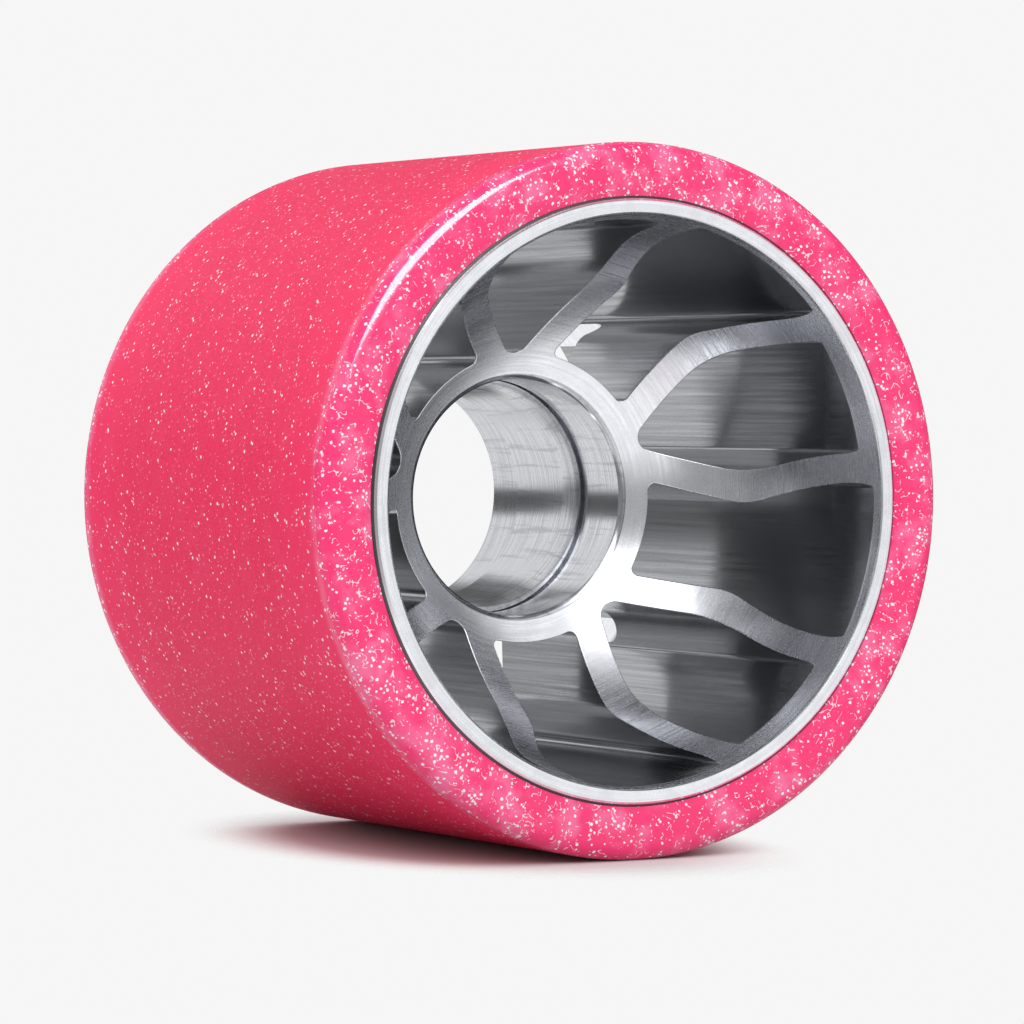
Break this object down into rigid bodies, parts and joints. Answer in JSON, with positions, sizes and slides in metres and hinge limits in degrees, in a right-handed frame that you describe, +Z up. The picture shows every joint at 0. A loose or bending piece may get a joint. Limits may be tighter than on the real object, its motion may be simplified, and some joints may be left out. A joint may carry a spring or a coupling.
{
  "type": "roller skate wheel",
  "caption": "Wide roller skate wheel: a glittery cast urethane tyre bonded on a deep-dished aluminium hub with bent spokes and an open bore with bearing seats.",
  "frame": {"origin": "centre of the wheel, on its axis, halfway between the side faces", "axes": "+Y along the axis towards the back, so the dished front looks to -Y; +Z up when the wheel stands on its tread"},
  "size_m": [0.064, 0.05, 0.064],
  "materials": {
    "hub": "turned and left bare, with fine turning marks on the faces and drawing lines along the pocket walls",
    "tyre": "cast pink urethane with silver glitter, glossy side faces and a matte turned tread"
  },
  "bodies": {
    "root": {"hub": "hub", "tyre": "tyre"}
  },
  "joints": []
}
